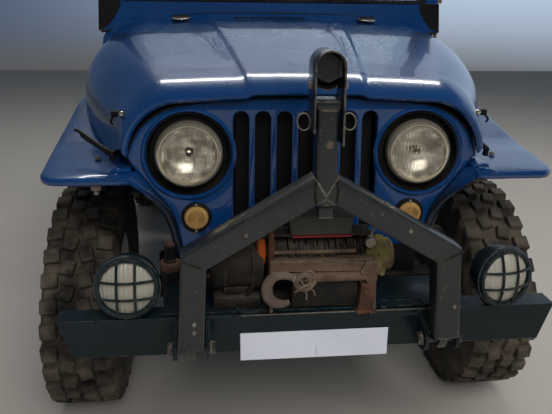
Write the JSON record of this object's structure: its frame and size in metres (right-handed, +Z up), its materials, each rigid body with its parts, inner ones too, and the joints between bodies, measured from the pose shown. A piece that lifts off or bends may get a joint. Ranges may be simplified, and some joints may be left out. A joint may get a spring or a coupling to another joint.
{
  "type": "short open off-road utility vehicle",
  "caption": "Short open off-road vehicle with slotted grille, winch, folding tow bar, folding windshield and roll bar.",
  "frame": {"origin": "on the ground, in the middle of the vehicle's length and width", "axes": "+Z up, -Y forward, +X to the vehicle's left"},
  "size_m": [1.578, 3.699, 1.7974],
  "materials": {
    "black_steel": "satin",
    "teal_black_paint": "satin",
    "rusty_steel": "matt",
    "winch_steel": "matt",
    "bright_ring": "polished",
    "lamp_glass": "clear",
    "amber_lens": "gloss",
    "plate_white": "satin",
    "blue_paint": "gloss",
    "seat_vinyl": "satin",
    "engine_iron": "matt",
    "window_glass": "clear",
    "black_plastic": "satin",
    "bar_paint": "worn",
    "wheel_paint": "satin",
    "tyre_rubber": "dusty"
  },
  "bodies": {
    "chassis": {"frame_rails": "black_steel", "front_bumper": "teal_black_paint", "rear_bumper": "teal_black_paint", "winch_cradle": "rusty_steel", "winch": "winch_steel", "winch_hook": "rusty_steel", "fog_lamps": "teal_black_paint", "headlamp_rings": "bright_ring", "lamp_glass": "lamp_glass", "signal_lamps": "amber_lens", "number_plate": "plate_white", "grille": "blue_paint", "cowl": "blue_paint", "floor": "blue_paint", "rear_panel": "blue_paint", "seat_frames": "black_steel", "seat_cushions": "seat_vinyl", "driver_controls": "black_steel", "roll_bar": "black_steel", "engine_block": "engine_iron", "radiator": "black_steel", "exhaust": "rusty_steel", "axles": "black_steel", "suspension": "black_steel", "propshafts": "black_steel", "side_mirror": "rusty_steel", "body_side_left": "blue_paint", "body_side_right": "blue_paint", "fender_left": "blue_paint", "fender_right": "blue_paint", "tyre_spare": "tyre_rubber", "rim_spare": "wheel_paint"},
    "hood": {"hood": "blue_paint"},
    "windshield": {"windshield_frame": "blue_paint", "windshield_glass": "window_glass"},
    "steering_wheel": {"steering_wheel": "black_plastic"},
    "knuckle_left": {"knuckle_left": "black_steel"},
    "knuckle_right": {"knuckle_right": "black_steel"},
    "tie_rod": {"tie_rod": "black_steel"},
    "tow_bar": {"tow_bar": "bar_paint"},
    "wheel_front_left": {"rim_front_left": "wheel_paint", "tyre_front_left": "tyre_rubber"},
    "wheel_front_right": {"rim_front_right": "wheel_paint", "tyre_front_right": "tyre_rubber"},
    "wheel_rear_left": {"rim_rear_left": "wheel_paint", "tyre_rear_left": "tyre_rubber"},
    "wheel_rear_right": {"rim_rear_right": "wheel_paint", "tyre_rear_right": "tyre_rubber"}
  },
  "joints": [
    {"name": "steer_left", "type": "hinge", "parent": "chassis", "child": "knuckle_left", "pos_m": [0.575, -1.0795, 0.37062], "axis": [0, 0, 1], "range_deg": [-26, 26]},
    {"name": "steer_right", "type": "hinge", "parent": "chassis", "child": "knuckle_right", "pos_m": [-0.575, -1.0795, 0.37062], "axis": [0, 0, 1], "range_deg": [-27, 27]},
    {"name": "tie_rod_pivot", "type": "hinge", "parent": "knuckle_left", "child": "tie_rod", "pos_m": [0.575, -1.2195, 0.41262], "axis": [0, 0, 1], "range_deg": [-27, 27]},
    {"name": "steering_column", "type": "hinge", "parent": "chassis", "child": "steering_wheel", "pos_m": [0.32, -0.15887, 1.19419], "axis": [0, 0.8387, 0.5446], "range_deg": [-444, 444]},
    {"name": "hood_hinge", "type": "hinge", "parent": "chassis", "child": "hood", "pos_m": [0, -0.5795, 1.318], "axis": [-1, 0, 0], "range_deg": [0, 85]},
    {"name": "windshield_hinge", "type": "hinge", "parent": "chassis", "child": "windshield", "pos_m": [0, -0.5065, 1.344], "axis": [-1, 0, 0], "range_deg": [-97, 0]},
    {"name": "tow_bar_hinge", "type": "hinge", "parent": "chassis", "child": "tow_bar", "pos_m": [0, -1.7795, 0.545], "axis": [1, 0, 0], "range_deg": [0, 110]},
    {"name": "wheel_spin_front_left", "type": "hinge", "parent": "knuckle_left", "child": "wheel_front_left", "pos_m": [0.677, -1.0795, 0.37062], "axis": [1, 0, 0], "continuous": true},
    {"name": "wheel_spin_front_right", "type": "hinge", "parent": "knuckle_right", "child": "wheel_front_right", "pos_m": [-0.677, -1.0795, 0.37062], "axis": [1, 0, 0], "continuous": true},
    {"name": "wheel_spin_rear_left", "type": "hinge", "parent": "chassis", "child": "wheel_rear_left", "pos_m": [0.677, 0.9775, 0.37062], "axis": [1, 0, 0], "continuous": true},
    {"name": "wheel_spin_rear_right", "type": "hinge", "parent": "chassis", "child": "wheel_rear_right", "pos_m": [-0.677, 0.9775, 0.37062], "axis": [1, 0, 0], "continuous": true}
  ],
  "couplings": [
    {"joint": "steer_right", "follows": "steer_left", "ratio": 1},
    {"joint": "tie_rod_pivot", "follows": "steer_left", "ratio": -1},
    {"joint": "steering_column", "follows": "steer_left", "ratio": 17}
  ]
}
